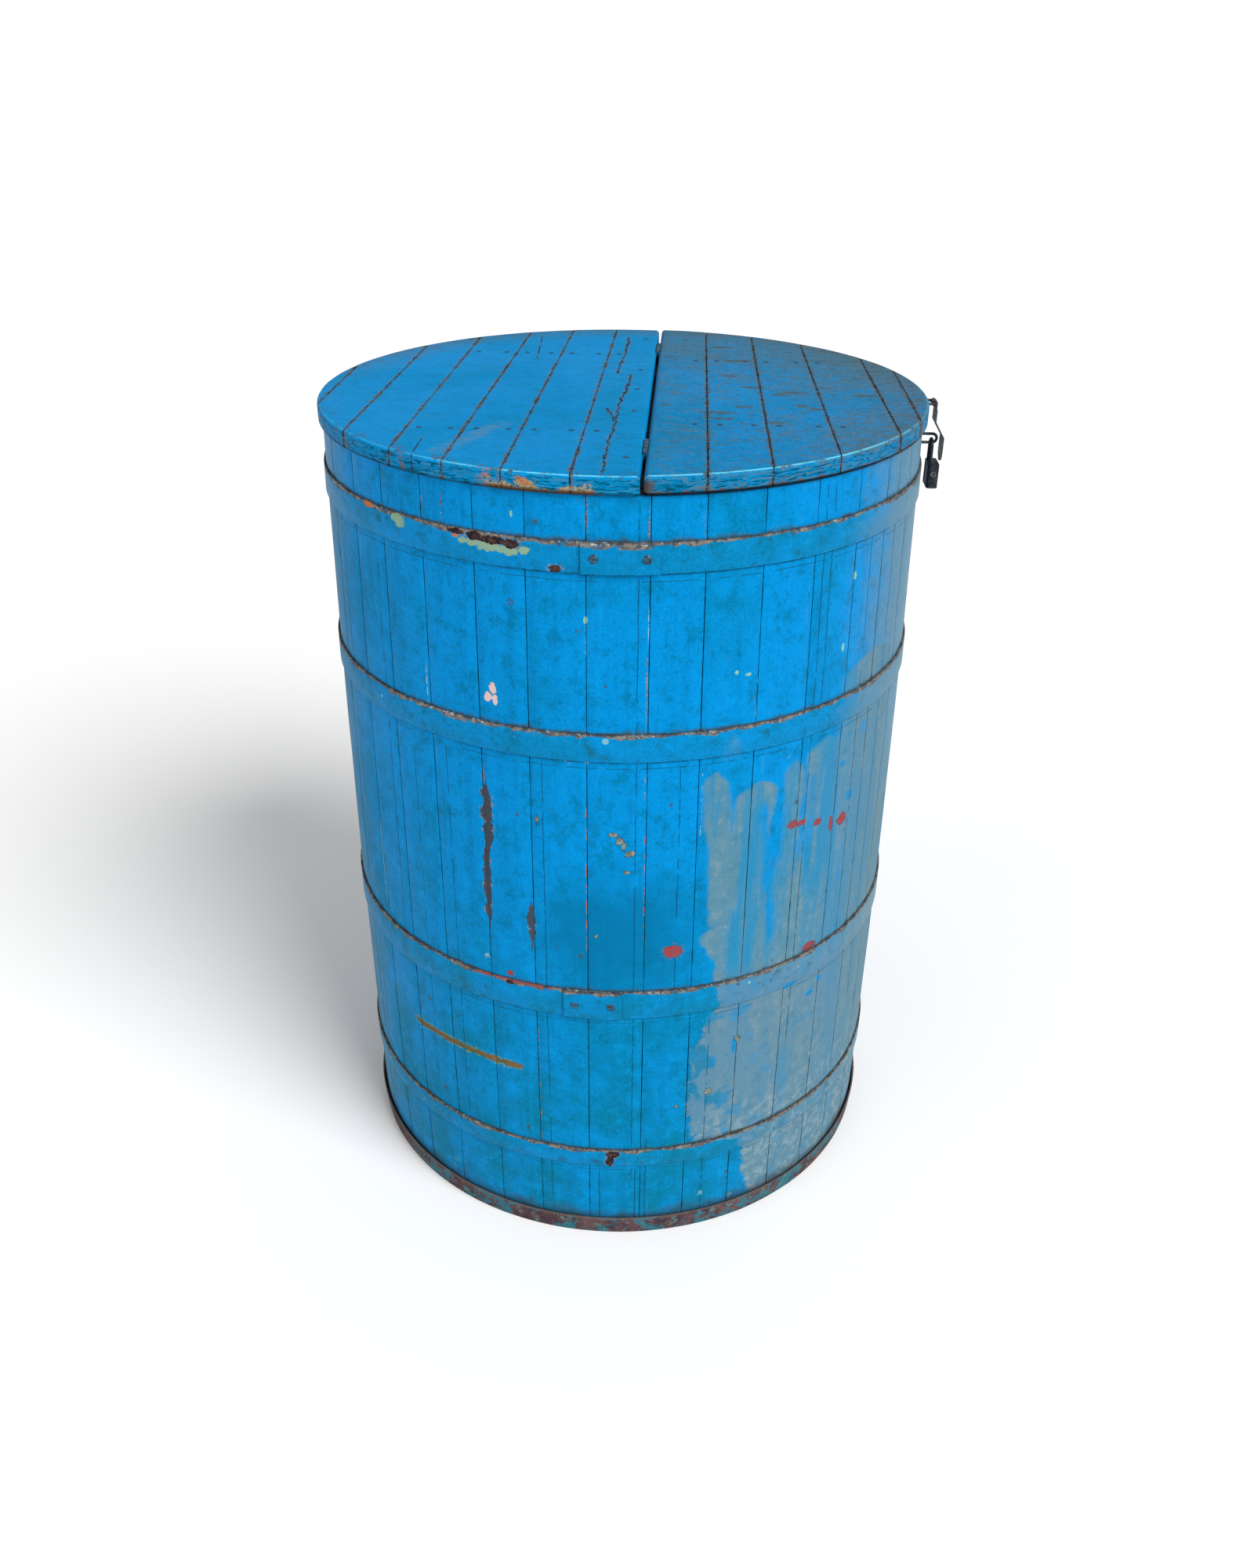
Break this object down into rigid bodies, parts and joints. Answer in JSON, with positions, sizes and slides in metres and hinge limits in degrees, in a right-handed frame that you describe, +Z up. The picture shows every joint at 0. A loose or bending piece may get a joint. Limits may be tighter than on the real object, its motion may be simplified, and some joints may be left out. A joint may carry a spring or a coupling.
{
  "type": "coopered storage vat",
  "caption": "Tall hooped wooden vat with a plank lid, half fixed and half a hinged flap held by a hasp strap and padlock.",
  "frame": {"origin": "on the floor, on the axis of the staved wall", "axes": "+Z up along the axis of the vat; lid boards along Y; the flap opens from the +X side; -Y is the front with the hoop laps"},
  "size_m": [0.8713, 0.8551, 1.1958],
  "materials": {
    "painted_staves": "old blue milk paint over wood, chipped, with grey and rusty stains",
    "painted_lid": "old bright blue paint over plank wood, dirty in the seams",
    "worn_painted_lid": "blue paint worn to grey-brown wood",
    "bare_wood": "bare, aged, unpainted",
    "painted_hoops": "blue paint over flat iron, rubbed brown on the edges",
    "rusty_hoop": "rusty flat iron with traces of green and blue paint",
    "painted_iron": "blue paint over iron",
    "nail_iron": "dark iron",
    "forged_iron": "dark forged iron, a little rust",
    "lock_iron": "blackened iron",
    "lock_plug": "dull, dirty brass"
  },
  "bodies": {
    "vat": {"beam_ledgers": "bare_wood", "centre_beam": "bare_wood", "fixed_battens": "bare_wood", "fixed_lid_nails": "nail_iron", "head_board_1": "bare_wood", "head_board_2": "bare_wood", "head_board_3": "bare_wood", "head_board_4": "bare_wood", "head_board_5": "bare_wood", "hinge_leaves_fixed": "painted_iron", "hinge_pins": "painted_iron", "hinge_screws_fixed": "nail_iron", "hoop_foot": "rusty_hoop", "hoop_lower": "painted_hoops", "hoop_middle": "painted_hoops", "hoop_rivets": "painted_iron", "hoop_top": "painted_hoops", "hoop_upper": "painted_hoops", "lid_fixed_board_1": "painted_lid", "lid_fixed_board_2": "painted_lid", "lid_fixed_board_3": "painted_lid", "lid_fixed_board_4": "painted_lid", "lid_fixed_board_5": "painted_lid", "lid_fixed_board_6": "painted_lid", "lid_fixed_board_7": "painted_lid", "stave_pair_01": "painted_staves", "stave_pair_02": "painted_staves", "stave_pair_03": "painted_staves", "stave_pair_04": "painted_staves", "stave_pair_05": "painted_staves", "stave_pair_06": "painted_staves", "stave_pair_07": "painted_staves", "stave_pair_08": "painted_staves", "stave_pair_09": "painted_staves", "stave_pair_10": "painted_staves", "stave_pair_11": "painted_staves", "stave_pair_12": "painted_staves", "stave_pair_13": "painted_staves", "stave_pair_14": "painted_staves", "stave_pair_15": "painted_staves", "stave_pair_16": "painted_staves", "stave_pair_17": "painted_staves", "stave_pair_18": "painted_staves", "wall_staple": "forged_iron"},
    "lid_flap": {"flap_battens": "bare_wood", "flap_nails": "nail_iron", "hinge_leaves_flap": "painted_iron", "hinge_screws_flap": "nail_iron", "lid_flap_board_1": "worn_painted_lid", "lid_flap_board_2": "worn_painted_lid", "lid_flap_board_3": "worn_painted_lid", "lid_flap_board_4": "worn_painted_lid", "lid_flap_board_5": "worn_painted_lid", "lid_flap_board_6": "worn_painted_lid", "strap_staple": "forged_iron"},
    "hasp_strap": {"hasp_strap": "forged_iron"},
    "padlock_shackle": {"padlock_shackle": "lock_iron"},
    "padlock_body": {"padlock_body": "lock_iron"},
    "padlock_plug": {"padlock_plug": "lock_plug"}
  },
  "joints": [
    {"name": "lid_flap_hinge", "type": "hinge", "parent": "vat", "child": "lid_flap", "pos_m": [0.041, 0, 1.1902], "axis": [0, -1, 0], "range_deg": [0, 90]},
    {"name": "hasp_strap_swing", "type": "hinge", "parent": "lid_flap", "child": "hasp_strap", "pos_m": [0.4315, 0, 1.185], "axis": [0, -1, 0], "range_deg": [0, 170]},
    {"name": "padlock_swing", "type": "hinge", "parent": "vat", "child": "padlock_shackle", "pos_m": [0.434, 0, 1.129], "axis": [1, 0, 0], "range_deg": [-40, 40]},
    {"name": "padlock_release", "type": "slide", "parent": "padlock_shackle", "child": "padlock_body", "axis": [0, 0, -1], "range_m": [0, 0.009]},
    {"name": "padlock_key_turn", "type": "hinge", "parent": "padlock_body", "child": "padlock_plug", "pos_m": [0.4385, -0.012, 1.089], "axis": [0, 1, 0], "range_deg": [0, 90]}
  ]
}
